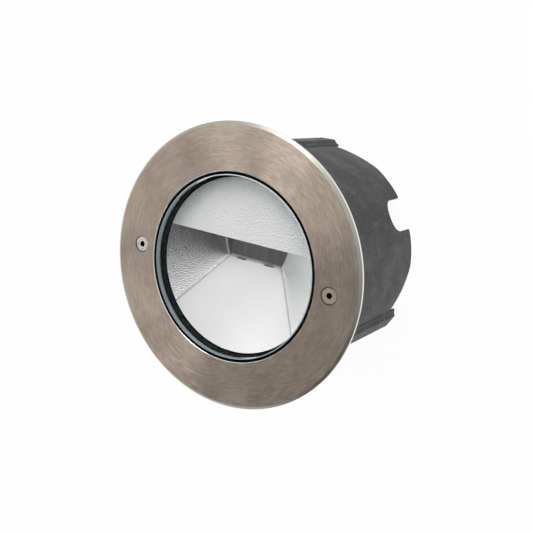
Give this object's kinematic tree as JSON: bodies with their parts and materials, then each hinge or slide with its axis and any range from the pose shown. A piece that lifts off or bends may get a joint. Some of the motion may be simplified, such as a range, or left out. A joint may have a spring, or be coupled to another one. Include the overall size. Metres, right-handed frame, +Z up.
{
  "type": "in ground well light",
  "caption": "Round recessed ground light: brushed steel cover ring, thick flush glass, hammered reflector under a half-round baffle, sealed gear housing and a ribbed installation sleeve.",
  "frame": {"origin": "centre of the sleeve's open rim, which stands on the floor; the light stands face up", "axes": "+Z up, out of the glass; +X along the line through the two cover screws; +Y towards the baffle, so the light is thrown towards -Y"},
  "size_m": [0.18, 0.18, 0.11],
  "materials": {
    "ring_steel": "concentric brushed stainless",
    "screw_steel": "turned stainless",
    "lens_glass": "polished toughened glass",
    "black_rubber": "moulded silicone",
    "reflector_aluminium": "hammered and satin anodised",
    "baffle_aluminium": "hammered and satin anodised",
    "spreader_aluminium": "matt anodised",
    "housing_aluminium": "dark powder coat on die casting",
    "zinc_steel": "zinc plated",
    "board_aluminium": "white solder mask on metal core",
    "emitter_phosphor": "silicone dome over phosphor",
    "red_insulation": "extruded insulation",
    "brown_insulation": "extruded insulation",
    "earth_insulation": "extruded insulation",
    "driver_case": "moulded",
    "terminal_plastic": "moulded",
    "brass": "turned",
    "tinned_copper": "tinned",
    "gland_nylon": "moulded polyamide",
    "sleeve_plastic": "moulded, fine matt grain"
  },
  "bodies": {
    "root": {"cover_ring": "ring_steel", "cover_screws": "screw_steel", "glass_lens": "lens_glass", "glass_gasket": "black_rubber", "baffle_plate": "baffle_aluminium", "reflector_bowl": "reflector_aluminium", "heat_spreader": "spreader_aluminium", "spreader_screws": "zinc_steel", "led_board": "board_aluminium", "led_emitters": "emitter_phosphor", "led_board_screws": "zinc_steel", "led_leads": "red_insulation", "lamp_housing": "housing_aluminium", "driver_module": "driver_case", "driver_screws": "zinc_steel", "mains_leads": "brown_insulation", "terminal_block": "terminal_plastic", "terminal_screws": "brass", "block_screws": "zinc_steel", "earth_screw": "brass", "earth_lug": "tinned_copper", "earth_lead": "earth_insulation", "rear_seal": "black_rubber", "rear_cover": "housing_aluminium", "rear_screws": "screw_steel", "gland_washer": "black_rubber", "gland_body": "gland_nylon", "gland_locknut": "gland_nylon", "gland_seal": "black_rubber", "gland_nut": "gland_nylon", "sleeve_inserts": "brass", "installation_sleeve": "sleeve_plastic"}
  },
  "joints": []
}
